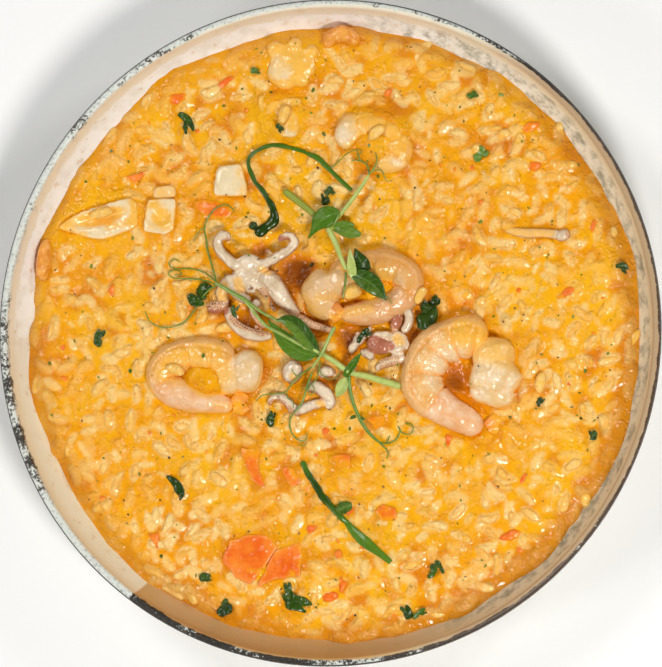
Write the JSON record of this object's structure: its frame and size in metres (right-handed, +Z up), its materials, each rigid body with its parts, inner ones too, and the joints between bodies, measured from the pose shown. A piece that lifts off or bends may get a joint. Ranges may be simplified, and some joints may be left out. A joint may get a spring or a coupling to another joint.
{
  "type": "seafood risotto in a bowl",
  "caption": "Low round stoneware bowl of saffron-yellow risotto topped with prawns, squid and pea shoots.",
  "frame": {"origin": "centre of the foot ring's underside, where the bowl stands on the table", "axes": "+Z up out of the bowl, +X to the right and +Y away from the eater as the dish is pictured from above"},
  "size_m": [0.23, 0.23, 0.0354],
  "materials": {
    "stoneware_glaze": "beige reactive glaze, dark speckled lip",
    "risotto": "wet creamy sauce over pale rice grains",
    "prawn": "moist, partly sauced",
    "squid": "moist, purple-brown suckers on the arms",
    "mussel": "moist orange-brown",
    "tomato": "wet orange-red flesh",
    "pea_shoot": "fresh bright green, darker waxy leaves",
    "wilted_greens": "wilted dark green, wet"
  },
  "bodies": {
    "root": {"bowl": "stoneware_glaze", "risotto": "risotto", "prawn_right": "prawn", "prawn_middle": "prawn", "prawn_left": "prawn", "prawn_back": "prawn", "squid_head": "squid", "squid_arms_front": "squid", "squid_arms_right": "squid", "squid_slab": "squid", "squid_square": "squid", "squid_cube": "squid", "squid_ring_strip": "squid", "seafood_lobed": "squid", "seafood_wedge": "squid", "mussel_left": "mussel", "mussel_back": "mussel", "tomato_petal_large": "tomato", "tomato_petal_small": "tomato", "tomato_soft": "tomato", "tomato_sliver": "tomato", "tomato_dice_front": "tomato", "tomato_dice_centre": "tomato", "tomato_dice_right": "tomato", "tomato_under_shoot": "tomato", "pea_shoot_front": "pea_shoot", "pea_shoot_back": "pea_shoot", "wilted_stem_back": "wilted_greens", "wilted_stem_front": "wilted_greens"}
  },
  "joints": []
}
